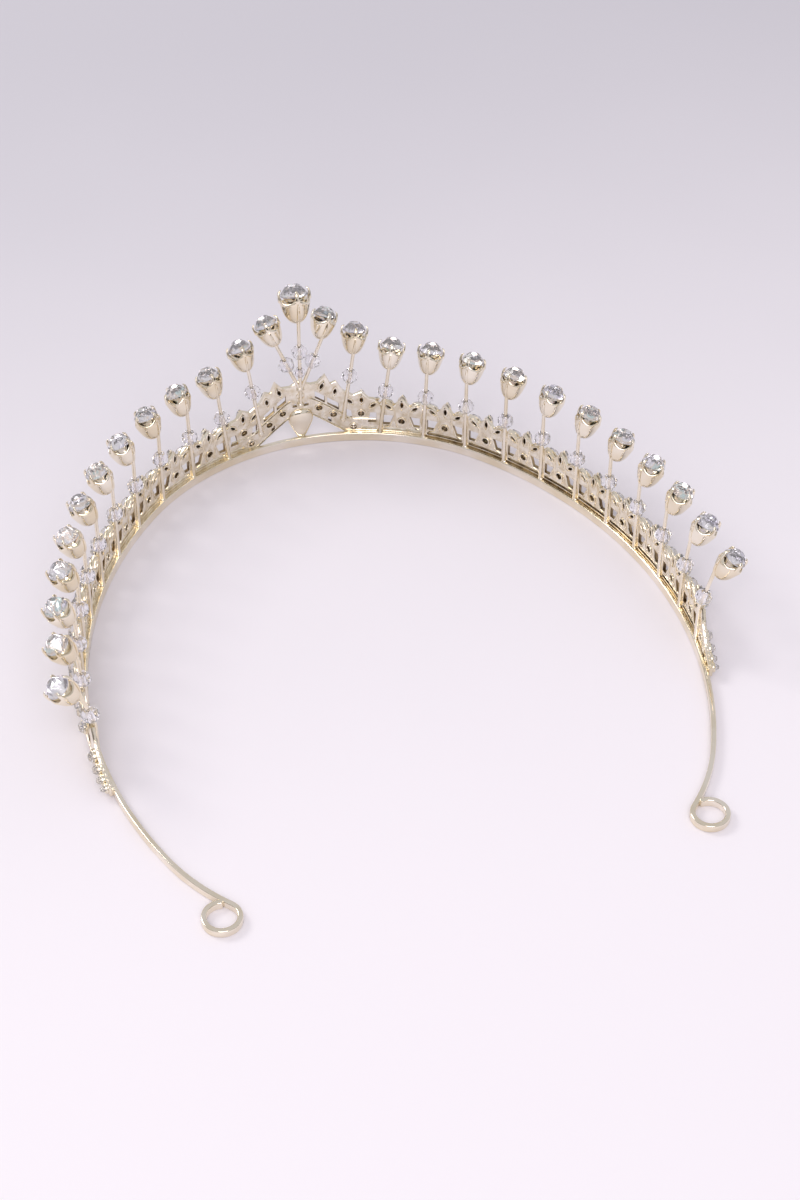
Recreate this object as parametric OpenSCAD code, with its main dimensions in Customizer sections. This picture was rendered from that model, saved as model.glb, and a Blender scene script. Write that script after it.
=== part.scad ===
/* [Band] */
// Radius of the front of the band, on its centre line
front_r = 58; // [54:1:62]
// Angle of the front arc on each side of the centre
front_deg = 47; // [44:1:52]
// Radius of the flatter sides
side_r = 102; // [96:1:110]
// Angle of each side arc
side_deg = 67; // [62:1:70]
// Radius of the inward-curling ends
end_r = 49; // [44:1:56]
// Angle of each end arc
end_deg = 21; // [18:1:26]
// Height of the flat band
band_h = 2.4; // [2:0.1:3]
// Thickness of the flat band
band_t = 1.2; // [1:0.1:1.4]
// Radius of the hole in an eyelet at the end of the band
eyelet_hole_r = 3.2; // [2.8:0.1:3.6]

/* [Gallery strip] */
// Thickness of the pierced strip
strip_t = 1.0; // [0.8:0.1:1.2]
// Thickness of the raised bezels on its front
relief_t = 0.6; // [0.5:0.1:0.8]
// Height of the strip where a post crosses it
strip_h = 10.9; // [10:0.1:12]

/* [Posts and settings] */
// Distance between neighbouring wing posts along the band
post_pitch = 11.2; // [10.8:0.1:11.6]
// Diameter of a post
post_d = 0.9; // [0.8:0.1:1]
// Height of a stone's centre on the wings
wing_h = 26.8; // [25.6:0.2:28]
// Forward tilt of the cups
cup_tilt = 21; // [18:1:26]
// Length of a cup along its axis
cup_len = 5.8; // [5.4:0.1:6.2]
// Diameter of a crown stone
stone_d = 5.7; // [5.4:0.1:5.8]
// Diameter of a clear bead
bead_d = 4; // [3.6:0.1:4.4]
// Length of a bead along its post
bead_len = 3.2; // [2.8:0.1:3.4]

/* [Centre piece] */
// Height of the centre of the peak stone
peak_h = 43.6; // [42:0.2:45.6]
// Size of the peak's cup and stone beside the others
peak_scale = 1.18; // [1:0.02:1.24]
// Depth of the pear cup behind its stone
pear_depth = 1.8; // [1.4:0.1:2.2]

/* [Hidden] */
side_count = 13;
$fn = 48;
clear = 0.12;
overlap = 0.05;
metal = [0.86, 0.79, 0.66];
crystal = [0.9, 0.92, 0.97];
bead_glass = [0.93, 0.91, 0.98];

// The band's arcs: where each one turns into the next, and their centres on the +X half
front_len = front_r * front_deg * PI / 180;
side_len = side_r * side_deg * PI / 180;
side_turn = front_deg + side_deg;
end_turn = side_turn + end_deg;
function ray(a) = [sin(a), -cos(a)];
side_c = (front_r - side_r) * ray(front_deg);
end_c = side_c + (side_r - end_r) * ray(side_turn);
eyelet_r = eyelet_hole_r + band_t / 2;
eyelet_c = end_c + (end_r + eyelet_r) * ray(end_turn);
eyelet_deg = 330;

// Distances outward from the band's centre line
strip_lap = 0.1;
strip_o = band_t / 2 - strip_lap;
face_o = strip_o + strip_t;
post_o = 0.2;
cup_o = 1.25;

// A setting, measured along the cup's axis from its tip
stone_r = stone_d / 2;
girdle_rise = 0.3;
girdle_t = cup_len + girdle_rise;
girdle_h = 0.2;
crown_h = 1.95;
table_share = 0.55;
pavilion_h = 2.2;
culet_r = 0.2;
girdle_sides = 16;
table_sides = 8;
culet_sides = 4;
thin = 0.01;
claw_root = 0.6;
claw_reach = 1.3;
claw_foot_t = cup_len - claw_root;
claw_top_t = girdle_t + claw_reach;
claw_r = stone_r + clear;
claw_depth = 0.55;
claw_w = 0.8;
rim_margin = 0.4;
rim_r = stone_r + rim_margin;
pocket_step = 0.05;
pocket_r = stone_r - pocket_step;
// Outline of a cup: radius as a share of the rim, height as a share of the length
CUP_OUTLINE = [[0.15, 0], [0.4, 0.06], [0.65, 0.22], [0.86, 0.48], [0.96, 0.74], [1, 0.88], [1, 1]];
// Outline of its pocket, from the rim down: shares of the pocket's radius and of the cup's length
POCKET_OUTLINE = [[1, 1], [0.84, 0.72], [0.4, 0.52], [0, 0.52]];
ridge_h = 3.6;

// Posts from the centre outward
FIRST_POSTS = [
    // distance, root height, sideways fan, stone height, bead height
    [0, 12, 0, peak_h, 22.7],
    [0, 17, 21, 36.3, 25.6],
    [10.6, 6, 7.6, 31.5, 20],
    [19.8, 1.4, 6.4, 27, 15.5],
    [31, 1.4, 2.1, 26.9, 15]
];
peak_bead = 28.9;
// Size of the peak's lower bead, which sits between the fanned posts, beside the others
low_bead = 0.7;
last_first = len(FIRST_POSTS) - 1;
wing_root = 1.4;
wing_bead = 15.1;
bend_h = 12;
root_extra = 0.06;
// Outward lean of the last posts, above the strip
END_LEANS = [2.5, 5.5, 14.5];
function column(i, k, wing) = i <= last_first ? FIRST_POSTS[i][k] : wing;
function post_at(i) = column(i, 0, FIRST_POSTS[last_first][0] + (i - last_first) * post_pitch);
function post_root(i) = column(i, 1, wing_root);
function post_fan(i) = column(i, 2, 0);
function stone_at(i) = column(i, 3, wing_h);
function bead_at(i) = column(i, 4, wing_bead);
function bend_len(i) = (bend_h - post_root(i)) / cos(post_fan(i));
function post_lean(i) = i <= side_count - len(END_LEANS) ? 0 : END_LEANS[i - side_count + len(END_LEANS) - 1];

// The reach to the front and to the back, for an origin in the middle of the whole
function size_at(i) = i == 0 ? peak_scale : 1;
claw_front = claw_top_t * sin(cup_tilt) + (claw_r + claw_depth) * cos(cup_tilt);
front_reach = front_r + post_o + cup_o + size_at(0) * claw_front;
back_reach = eyelet_c[1] + eyelet_r + band_t / 2;
origin_y = (back_reach - front_reach) / 2;

// Turn of the band, and its point, at a distance s from the centre on the +X half
function turn_at(s) =
    s < front_len ? s / front_r * 180 / PI :
    s < front_len + side_len ? front_deg + (s - front_len) / side_r * 180 / PI :
    side_turn + (s - front_len - side_len) / end_r * 180 / PI;
function point_at(s) =
    s < front_len ? front_r * ray(turn_at(s)) :
    s < front_len + side_len ? side_c + side_r * ray(turn_at(s)) :
    end_c + end_r * ray(turn_at(s));

// Puts a piece on the band, its X along the band and its -Y outward
module on_band(s) {
    p = point_at(s);
    translate([p[0], p[1] - origin_y, 0])
        rotate([0, 0, turn_at(s)])
            children();
}

// Draws the +X half and its mirror image
module both_sides() {
    children();
    mirror([1, 0, 0])
        children();
}

// Outlines of plates
function box_loop(x0, x1, z0, z1) = [[x0, z0], [x1, z0], [x1, z1], [x0, z1]];
function round_loop(c, r, n) = [for (k = [0 : n - 1]) c + r * [cos(k * 360 / n), sin(k * 360 / n)]];
function flipped(loop) = [for (p = loop) [-p[0], p[1]]];
function moved(loop, d) = [for (p = loop) p + d];
leaf_sides = 8;
leaf_tip = 0.1;
leaf_shoulder = 0.78;
// A pointed leaf of length l and width w, turned by a from upright
function leaf_loop(c, l, w, a) = [
    for (k = [0 : leaf_sides - 1])
        let (q = k * 360 / leaf_sides)
        let (x = w / 2 * sin(q), z = l / 2 * cos(q) * (abs(sin(q)) < leaf_tip ? 1 : leaf_shoulder))
        c + [x * cos(a) + z * sin(a), z * cos(a) - x * sin(a)]
];

// A flat plate from closed outlines: the outer one and then its holes
function starts(loops, k = 0, n = 0) =
    k == len(loops) ? [] :
    concat([[for (j = [0 : len(loops[k]) - 1]) n + j]], starts(loops, k + 1, n + len(loops[k])));
module plate(loops, t) {
    linear_extrude(t)
        polygon(points = [for (loop = loops) each loop], paths = starts(loops));
}

// Stands a plate on the chord of the band from s0 to s1, its back at the distance o outward
module stand(s0, s1, o) {
    p = point_at(abs(s0));
    q = point_at(s1);
    start = [p[0] * sign(s0 == 0 ? 1 : s0), p[1]];
    middle = (start + q) / 2;
    translate([middle[0], middle[1] - origin_y, 0])
        rotate([0, 0, atan2(q[1] - start[1], q[0] - start[0])])
            translate([0, -o, 0])
                rotate([90, 0, 0])
                    children();
}

// Wing panels, one between each two posts
panel_extra = 0.22;
panel_half = post_pitch / 2 + panel_extra;
rail_z = 0.9;
slot_z = [3.0, 3.7];
cell_z = [4.7, 7.6];
cell_x = [2.0, 3.0, 4.6];
WING_EDGE = [[4.95, 12.1], [3.6, 11.8], [2.2, 10.6], [1.2, 11.7], [0, 13.0]];
wing_edge = concat(
    [[-panel_half, rail_z], [panel_half, rail_z], [panel_half, strip_h]],
    WING_EDGE,
    [for (k = [len(WING_EDGE) - 2 : -1 : 0]) [-WING_EDGE[k][0], WING_EDGE[k][1]]],
    [[-panel_half, strip_h]]
);
wing_cell = [[cell_x[1], cell_z[0]], [cell_x[2], cell_z[0]], [cell_x[2], cell_z[1]], [cell_x[0], cell_z[1]]];
open_back_r = 0.9;
round_sides = 10;
small_r = 1.25;
rim_w = 0.5;
wing_round = [0, 6.1, small_r];
WING_LEAVES = [
    // x, z, length, width, turn
    [0, 11.1, 4.0, 1.9, 0],
    [3.3, 10.3, 3.6, 1.8, 52],
    [-3.3, 10.3, 3.6, 1.8, -52]
];

function round_seat(g) = round_loop([g[0], g[1]], g[2] + clear, round_sides);
function open_backs(rounds) = [for (g = rounds) round_loop([g[0], g[1]], open_back_r, round_sides)];
function round_rim(g) = round_loop([g[0], g[1]], g[2] + clear + rim_w, round_sides);
function leaf_seat(g) = leaf_loop([g[0], g[1]], g[2] + 2 * clear, g[3] + 2 * clear, g[4]);
function leaf_rim(g) = leaf_loop([g[0], g[1]], g[2] + 2 * (clear + rim_w), g[3] + 2 * (clear + rim_w), g[4]);

// Raised bezels on the front of a plate
module bezels(rounds, leaves) {
    for (g = rounds)
        plate([round_rim(g), round_seat(g)], relief_t);
    for (g = leaves)
        plate([leaf_rim(g), leaf_seat(g)], relief_t);
}

module panel(s0, s1, loops, rounds, leaves) {
    stand(s0, s1, strip_o)
        plate(loops, strip_t);
    stand(s0, s1, face_o - overlap)
        bezels(rounds, leaves);
}

module wing_panel(k) {
    panel(
        post_at(k), post_at(k + 1),
        [
            wing_edge,
            box_loop(-cell_x[2], cell_x[2], slot_z[0], slot_z[1]),
            wing_cell,
            flipped(wing_cell),
            open_backs([wing_round])[0]
        ],
        [wing_round], WING_LEAVES
    );
}

// The chevron: its lower and upper edge, as distance from the centre and height
LOW = [[0, 9.9], [3.6, 7.9], [12, 1.6], [13, 0.9], [30, 0.9]];
TOP = [
    [0, 19.6], [2.6, 18.2], [4.6, 18.4], [6.3, 20.6], [7.6, 17.6], [9, 18.2], [10.6, 15.3],
    [13.2, 13.6], [15.3, 14.7], [17.2, 12.6], [18.4, 12.5], [19.8, 10.9], [30, 10.9]
];
middle_half = 2.6;
function joint_at(k) = k == 1 ? middle_half : post_at(k);
function cut(t, a, b) = concat(
    [[a, lookup(a, t)]],
    [for (p = t) if (p[0] > a && p[0] < b) p],
    [[b, lookup(b, t)]]
);
function reversed(l) = [for (k = [len(l) - 1 : -1 : 0]) l[k]];
function chevron_edge(s0, s1) = concat(
    cut(LOW, s0 - panel_extra, s1 + panel_extra),
    reversed(cut(TOP, s0 - panel_extra, s1 + panel_extra))
);
// A slot that follows the lower edge from a to b, from the height z0 to z1 above it
function leg_slot(a, b, z0, z1) = [
    [a, lookup(a, LOW) + z0], [b, lookup(b, LOW) + z0], [b, lookup(b, LOW) + z1], [a, lookup(a, LOW) + z1]
];
function shifted(list, d) = [for (g = list) [for (k = [0 : len(g) - 1]) k == 0 ? g[k] - d : g[k]]];
INNER_ROUNDS = [[4.7, 10.6, small_r], [8.3, 8.1, small_r]];
INNER_LEAVES = [[5.4, 17.2, 4.0, 1.9, 20], [8.7, 15.2, 3.6, 1.8, 10]];
OUTER_ROUNDS = [[13.3, 3.9, small_r], [15.2, 8.0, small_r]];
OUTER_LEAVES = [[12.4, 11.8, 3.6, 1.8, -40], [15.3, 12.2, 4.0, 1.9, 0], [18.2, 10.6, 3.4, 1.7, 50]];
PEAK_ROUND = [0, 15.0, small_r];
OUTER_CELLS = [
    [[11.6, 6.4], [13.0, 6.4], [12.7, 8.8], [11.6, 9.5]],
    [[16.9, 5.2], [19.0, 5.2], [19.0, 8.2], [17.5, 8.2]]
];
OUTER_SLOT = [15.4, 19];
INNER_SLOTS = [
    // from, to, and the lower and upper height above the edge
    [3.7, 6.1, 6, 8],
    [6.8, 9.6, 6, 8],
    [6.9, 7.7, 0.9, 2]
];
MIDDLE_SLOT = [[0.9, 11.8], [2.0, 11.8], [2.0, 12.4], [1.2, 12.8]];

module chevron_panel(s0, s1, holes, rounds, leaves) {
    d = (s0 + s1) / 2;
    panel(
        s0, s1,
        [for (loop = concat([chevron_edge(s0, s1)], holes)) moved(loop, [-d, 0])],
        shifted(rounds, d), shifted(leaves, d)
    );
}

module chevron_side() {
    chevron_panel(
        joint_at(1), joint_at(2),
        concat([for (g = INNER_SLOTS) leg_slot(g[0], g[1], g[2], g[3])], open_backs(INNER_ROUNDS)),
        INNER_ROUNDS, INNER_LEAVES
    );
    chevron_panel(
        joint_at(2), joint_at(3),
        concat(
            OUTER_CELLS,
            [box_loop(OUTER_SLOT[0], OUTER_SLOT[1], slot_z[0], slot_z[1])],
            open_backs(OUTER_ROUNDS)
        ),
        OUTER_ROUNDS, OUTER_LEAVES
    );
}

module chevron_middle() {
    edge = middle_half + panel_extra;
    half = concat(cut(LOW, 0, edge), reversed(cut(TOP, 0, edge)));
    stand(-middle_half, middle_half, strip_o)
        plate(
            [
                concat(half, reversed([for (p = half) if (p[0] > 0) [-p[0], p[1]]])),
                MIDDLE_SLOT,
                flipped(MIDDLE_SLOT)
            ],
            strip_t
        );
    stand(-middle_half, middle_half, face_o - overlap)
        bezels([PEAK_ROUND], []);
}

// The tapered end of the strip, its row of small stones and its outline from the last post
end_s = post_at(side_count);
end_length = 11.4;
END_EDGE = [
    [-panel_extra, rail_z], [end_length, rail_z], [end_length, 3.3],
    [6.4, 5.3], [2.6, 8.6], [0.9, 12.0], [-panel_extra, strip_h]
];
END_ROUNDS = [[2.5, 4.9, small_r], [5.5, 3.8, 1.05], [7.95, 2.95, 0.85], [10.15, 2.4, 0.7]];

module end_panel() {
    half_length = end_length / 2;
    panel(
        end_s, end_s + end_length,
        [
            moved(END_EDGE, [-half_length, 0]),
            open_backs(shifted([END_ROUNDS[0]], half_length))[0]
        ],
        shifted(END_ROUNDS, half_length), []
    );
}

// The pear cup under the chevron: half its outline from the point to the top
PEAR = [[0.7, 1.9], [1.7, 3.8], [2.6, 5.8], [3.2, 7.6], [3.0, 9.4], [2.0, 10.6], [0.8, 11.0]];
pear_half_w = max([for (p = PEAR) p[0]]);
pear_wall = 0.5;
pear_mid = 7;
pear_loop = concat(PEAR, reversed(flipped(PEAR)));
function shrunk(loop, d) = [
    for (p = loop)
        let (v = [p[0], p[1] - pear_mid])
        [0, pear_mid] + v * (norm(v) - d) / norm(v)
];
pear_front = 0.9;
pear_crown_h = 0.6;

module pear_cup() {
    translate([0, -front_r - origin_y - strip_o, 0])
        rotate([90, 0, 0])
            plate([pear_loop, shrunk(pear_loop, pear_wall)], strip_t + pear_front);
    translate([0, -front_r - origin_y - strip_o - overlap, 0])
        scale([1, (pear_depth - strip_o) / pear_half_w, 1])
            rotate_extrude(angle = 180)
                polygon(concat([[0, PEAR[0][1]]], PEAR, [[0, PEAR[len(PEAR) - 1][1]]]));
}

// The room for the pear stone, also where the chevron passes over the cup
module pear_pocket() {
    translate([0, -front_r - origin_y - strip_o - overlap, 0])
        rotate([90, 0, 0])
            linear_extrude(strip_t + pear_front)
                polygon(shrunk(pear_loop, pear_wall));
}

// The flat band with its eyelets. The sides are a little slimmer, so the other arcs run into them.
lap_deg = 0.4;
lap_step = 0.03;
module band_arc(c, r, a0, a1, inset = 0) {
    translate([c[0], c[1] - origin_y, 0])
        rotate([0, 0, a0 - 90])
            rotate_extrude(angle = a1 - a0)
                translate([r - band_t / 2 + inset, inset])
                    square([band_t - 2 * inset, band_h - 2 * inset]);
}

module band() {
    band_arc([0, 0], front_r, -front_deg - lap_deg, front_deg + lap_deg);
    both_sides() {
        band_arc(side_c, side_r, front_deg, side_turn, lap_step);
        band_arc(end_c, end_r, side_turn - lap_deg, end_turn);
        band_arc(eyelet_c, eyelet_r, end_turn + 180 - eyelet_deg, end_turn + 180);
    }
}

// Puts a piece at the bend of a post, its Z along the upper part of the post
module above_bend(i, side = 1) {
    mirror([side < 0 ? 1 : 0, 0, 0])
        on_band(post_at(i))
            translate([0, -post_o, post_root(i)])
                rotate([0, post_fan(i), 0])
                    translate([0, 0, bend_len(i)])
                        rotate([post_lean(i), 0, 0])
                            children();
}
function cup_rise(i) = (stone_at(i) - bend_h) / cos(post_fan(i)) - girdle_t * size_at(i) * cos(cup_tilt);

// Puts a piece in the cup of a post, its Z along the cup's axis
module in_cup(i, side = 1) {
    above_bend(i, side)
        translate([0, -cup_o, cup_rise(i)])
            rotate([cup_tilt, 0, 0])
                if (i == 0)
                    scale(size_at(i))
                        children();
                else
                    children();
}

module cup() {
    rotate_extrude()
        polygon(concat(
            [[0, 0]],
            [for (p = CUP_OUTLINE) [p[0] * rim_r, p[1] * cup_len]],
            [for (p = POCKET_OUTLINE) [p[0] * pocket_r, p[1] * cup_len]]
        ));
    translate([0, 0, claw_foot_t])
        linear_extrude(claw_top_t - claw_foot_t)
            for (a = [0 : 90 : 270])
                rotate(a)
                    translate([claw_r, -claw_w / 2])
                        square([claw_depth, claw_w]);
}

module post(i, side = 1) {
    start = max(0, -bend_len(i)) - overlap;
    above_bend(i, side)
        translate([0, 0, start])
            cylinder(h = cup_rise(i) + ridge_h * size_at(i) - start, d = post_d);
    if (post_root(i) < bend_h)
        mirror([side < 0 ? 1 : 0, 0, 0])
            on_band(post_at(i))
                translate([0, -post_o, post_root(i)])
                    rotate([0, post_fan(i), 0])
                        cylinder(h = bend_len(i), d = post_d + 2 * root_extra);
    in_cup(i, side)
        cup();
}

module frame() {
    color(metal) {
        band();
        difference() {
            union() {
                chevron_middle();
                both_sides()
                    chevron_side();
            }
            pear_pocket();
        }
        pear_cup();
        post(0);
        both_sides() {
            for (k = [3 : side_count - 1])
                wing_panel(k);
            end_panel();
        }
        for (i = [1 : side_count]) {
            post(i);
            post(i, -1);
        }
    }
}

// A brilliant with its culet down
module crown_stone(i, side = 1) {
    color(crystal)
        in_cup(i, side)
            hull() {
                translate([0, 0, girdle_t - girdle_h / 2])
                    linear_extrude(girdle_h)
                        circle(r = stone_r, $fn = girdle_sides);
                translate([0, 0, girdle_t + crown_h])
                    linear_extrude(thin)
                        circle(r = table_share * stone_r, $fn = table_sides);
                translate([0, 0, girdle_t - pavilion_h])
                    linear_extrude(thin)
                        circle(r = culet_r, $fn = culet_sides);
            }
}

// Flat-backed stones in their bezels
flat_girdle_h = 0.8;
flat_h = 1.4;
module flat_stone(loop, c) {
    hull() {
        linear_extrude(flat_girdle_h)
            polygon(moved(loop, c));
        translate([0, 0, flat_h])
            linear_extrude(thin)
                polygon(moved([for (p = loop) p * table_share], c));
    }
}

module stones_on(s0, s1, rounds, leaves) {
    stand(s0, s1, face_o + clear) {
        for (g = rounds)
            flat_stone(round_loop([0, 0], g[2], round_sides), [g[0], g[1]]);
        for (g = leaves)
            flat_stone(leaf_loop([0, 0], g[2], g[3], g[4]), [g[0], g[1]]);
    }
}

module chevron_stones(k, rounds, leaves) {
    d = (joint_at(k) + joint_at(k + 1)) / 2;
    stones_on(joint_at(k), joint_at(k + 1), shifted(rounds, d), shifted(leaves, d));
}

module leaf_stones() {
    color(crystal)
        both_sides() {
            chevron_stones(1, [], INNER_LEAVES);
            chevron_stones(2, [], OUTER_LEAVES);
            for (k = [3 : side_count - 1])
                stones_on(post_at(k), post_at(k + 1), [], WING_LEAVES);
        }
}

module round_stones() {
    color(crystal) {
        stones_on(-middle_half, middle_half, [PEAK_ROUND], []);
        both_sides() {
            chevron_stones(1, INNER_ROUNDS, []);
            chevron_stones(2, OUTER_ROUNDS, []);
            for (k = [3 : side_count - 1])
                stones_on(post_at(k), post_at(k + 1), [wing_round], []);
            stones_on(end_s, end_s + end_length, shifted(END_ROUNDS, end_length / 2), []);
        }
    }
}

module pear_stone() {
    outline = shrunk(pear_loop, pear_wall + clear);
    color(crystal)
        translate([0, -front_r - origin_y - strip_o - overlap - clear, 0])
            rotate([90, 0, 0])
                hull() {
                    linear_extrude(strip_t + pear_front - overlap - clear)
                        polygon(outline);
                    translate([0, 0, strip_t + pear_front + pear_crown_h])
                        linear_extrude(thin)
                            polygon([for (p = outline) [0, pear_mid] + (p - [0, pear_mid]) * table_share]);
                }
}

// A faceted bead on its post
bead_sides = 10;
bead_hole_r = post_d / 2 + clear;
// Outline of a bead: radius as a share of its own, height as a share of its length
BEAD_OUTLINE = [[0.6, 0], [1, 0.34], [1, 0.66], [0.6, 1]];
module bead(share = 1) {
    translate([0, 0, -share * bead_len / 2])
        rotate_extrude($fn = bead_sides)
            polygon(concat(
                [[bead_hole_r, 0]],
                [for (p = BEAD_OUTLINE) share * [p[0] * bead_d / 2, p[1] * bead_len]],
                [[bead_hole_r, share * bead_len]]
            ));
}

module bead_on(i, h, side = 1, share = 1) {
    above_bend(i, side)
        translate([0, 0, (h - bend_h) / cos(post_fan(i))])
            bead(share);
}

module post_beads() {
    color(bead_glass) {
        bead_on(0, bead_at(0), share = low_bead);
        bead_on(0, peak_bead);
        for (i = [1 : side_count]) {
            bead_on(i, bead_at(i));
            bead_on(i, bead_at(i), -1);
        }
    }
}

frame();
crown_stone(0);  // stone_peak
for (i = [1 : side_count]) {
    crown_stone(i);
    crown_stone(i, -1);
}
pear_stone();
post_beads();
leaf_stones();
round_stones();
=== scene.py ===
"""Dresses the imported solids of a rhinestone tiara: metalwork, cut stones, beads and a plain studio.

Lengths are modelled in millimetres and turned into metres when a piece is finished.
"""
import logging
import math
from collections.abc import Callable
from dataclasses import dataclass, field
from enum import Enum

import bpy
from mathutils import Matrix, Vector


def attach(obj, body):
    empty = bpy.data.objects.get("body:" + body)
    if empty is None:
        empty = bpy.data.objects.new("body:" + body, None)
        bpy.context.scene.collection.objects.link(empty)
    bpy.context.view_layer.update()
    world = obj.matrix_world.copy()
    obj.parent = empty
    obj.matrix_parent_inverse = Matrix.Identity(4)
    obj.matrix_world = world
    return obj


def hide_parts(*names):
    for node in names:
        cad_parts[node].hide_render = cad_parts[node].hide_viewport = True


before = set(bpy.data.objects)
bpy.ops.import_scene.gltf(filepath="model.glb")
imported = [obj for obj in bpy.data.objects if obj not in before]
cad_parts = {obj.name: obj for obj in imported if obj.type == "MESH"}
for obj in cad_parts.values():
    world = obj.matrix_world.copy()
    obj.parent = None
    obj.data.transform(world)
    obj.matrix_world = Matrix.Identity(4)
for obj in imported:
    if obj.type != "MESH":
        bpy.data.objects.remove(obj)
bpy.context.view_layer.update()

log = logging.getLogger("tiara")
MM = 0.001
BODY = "root"


# Colours and nodes

def linear(hex_colour: str) -> tuple[float, float, float, float]:
    """Turns an sRGB hex colour into linear RGBA.

    Args:
        hex_colour: six hex digits after a hash mark.

    Returns:
        The linear red, green, blue and an alpha of one.
    """
    parts = [int(hex_colour[i:i + 2], 16) / 255 for i in (1, 3, 5)]
    return tuple([c / 12.92 if c <= 0.04045 else ((c + 0.055) / 1.055) ** 2.4 for c in parts] + [1.0])


def add_node(tree: bpy.types.NodeTree, kind: str, settings: dict | None = None,
             links: dict | None = None) -> bpy.types.Node:
    """Adds one node with its settings and incoming links.

    Args:
        tree: the node tree.
        kind: the node's type name.
        settings: properties by attribute name, or socket values by socket name or number.
        links: outgoing sockets by the name or number of the input that they feed.

    Returns:
        The new node.
    """
    node = tree.nodes.new(kind)
    for key, value in (settings or {}).items():
        if isinstance(key, str) and hasattr(node, key):
            setattr(node, key, value)
        else:
            node.inputs[key].default_value = value
    for key, socket in (links or {}).items():
        tree.links.new(socket, node.inputs[key])
    return node


def new_material(name: str) -> tuple[bpy.types.Material, bpy.types.NodeTree, bpy.types.Node]:
    """Makes an empty node material.

    Args:
        name: the material's name.

    Returns:
        The material, its tree and its output node.
    """
    material = bpy.data.materials.new(name)
    material.use_nodes = True
    tree = material.node_tree
    tree.nodes.clear()
    return material, tree, add_node(tree, "ShaderNodeOutputMaterial")


def ramp(tree: bpy.types.NodeTree, source: bpy.types.NodeSocket,
         stops: list[tuple[float, tuple]]) -> bpy.types.Node:
    """Adds a colour ramp.

    Args:
        tree: the node tree.
        source: the socket that drives the ramp.
        stops: positions and linear colours.

    Returns:
        The ramp node.
    """
    node = add_node(tree, "ShaderNodeValToRGB", links={0: source})
    elements = node.color_ramp.elements
    while len(elements) < len(stops):
        elements.new(0.5)
    for element, (place, colour) in zip(elements, stops):
        element.position = place
        element.color = colour
    return node


def grey(value: float) -> tuple[float, float, float, float]:
    """Returns a grey as linear RGBA."""
    return (value, value, value, 1.0)


# Finishes

@dataclass(frozen=True)
class PlatedMetal:
    """Cast or drawn base metal, polished and flashed with champagne gold.

    The thin plating is bright and a little uneven, with faint polishing lines and matt spots.
    """
    name: str
    light: str
    deep: str
    smooth: float
    rough: float
    ripple_mm: float
    grain: float
    patch_mm: float = 9.0
    wear_mm: float = 1.6

    def make(self) -> bpy.types.Material:
        """Builds the material and returns it."""
        material, tree, out = new_material(self.name)
        place = add_node(tree, "ShaderNodeTexCoord").outputs["Object"]
        tone = add_node(tree, "ShaderNodeTexNoise", {"Scale": 1 / (self.patch_mm * MM), "Detail": 3.0},
                        {"Vector": place})
        colour = ramp(tree, tone.outputs["Fac"], [(0.34, linear(self.deep)), (0.62, linear(self.light))])
        wear = add_node(tree, "ShaderNodeTexNoise", {"Scale": 1 / (self.wear_mm * MM), "Detail": 4.0},
                        {"Vector": place})
        gloss = ramp(tree, wear.outputs["Fac"], [(0.4, grey(self.smooth)), (0.72, grey(self.rough))])
        ripple = add_node(tree, "ShaderNodeTexNoise", {"Scale": 1 / (self.ripple_mm * MM), "Detail": 2.0},
                          {"Vector": place})
        bump = add_node(tree, "ShaderNodeBump", {"Strength": self.grain, "Distance": 0.05 * MM},
                        {"Height": ripple.outputs["Fac"]})
        shader = add_node(tree, "ShaderNodeBsdfPrincipled", {"Metallic": 1.0}, {
            "Base Color": colour.outputs["Color"], "Roughness": gloss.outputs["Color"],
            "Normal": bump.outputs["Normal"]})
        tree.links.new(shader.outputs[0], out.inputs[0])
        return material


@dataclass(frozen=True)
class CutGlass:
    """Pressed and machine-cut lead glass, flame-polished, so the facets are sharp and clear.

    A trace of milkiness keeps the inside of a stone bright, as the many reflections in a real one do.
    """
    name: str
    tint: str
    ior: float
    rough: float
    clear: float
    cloud_mm: float = 3.0
    smear_mm: float = 0.8

    def make(self) -> bpy.types.Material:
        """Builds the material and returns it."""
        material, tree, out = new_material(self.name)
        place = add_node(tree, "ShaderNodeTexCoord").outputs["Object"]
        cloud = add_node(tree, "ShaderNodeTexNoise", {"Scale": 1 / (self.cloud_mm * MM), "Detail": 2.0},
                         {"Vector": place})
        colour = ramp(tree, cloud.outputs["Fac"], [(0.35, linear(self.tint)), (0.65, linear("#FFFFFF"))])
        smear = add_node(tree, "ShaderNodeTexNoise", {"Scale": 1 / (self.smear_mm * MM), "Detail": 3.0},
                         {"Vector": place})
        gloss = ramp(tree, smear.outputs["Fac"], [(0.45, grey(self.rough)), (0.8, grey(self.rough + 0.05))])
        shader = add_node(tree, "ShaderNodeBsdfPrincipled", {
            "Transmission Weight": self.clear, "IOR": self.ior}, {
            "Base Color": colour.outputs["Color"], "Roughness": gloss.outputs["Color"]})
        tree.links.new(shader.outputs[0], out.inputs[0])
        return material


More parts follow.
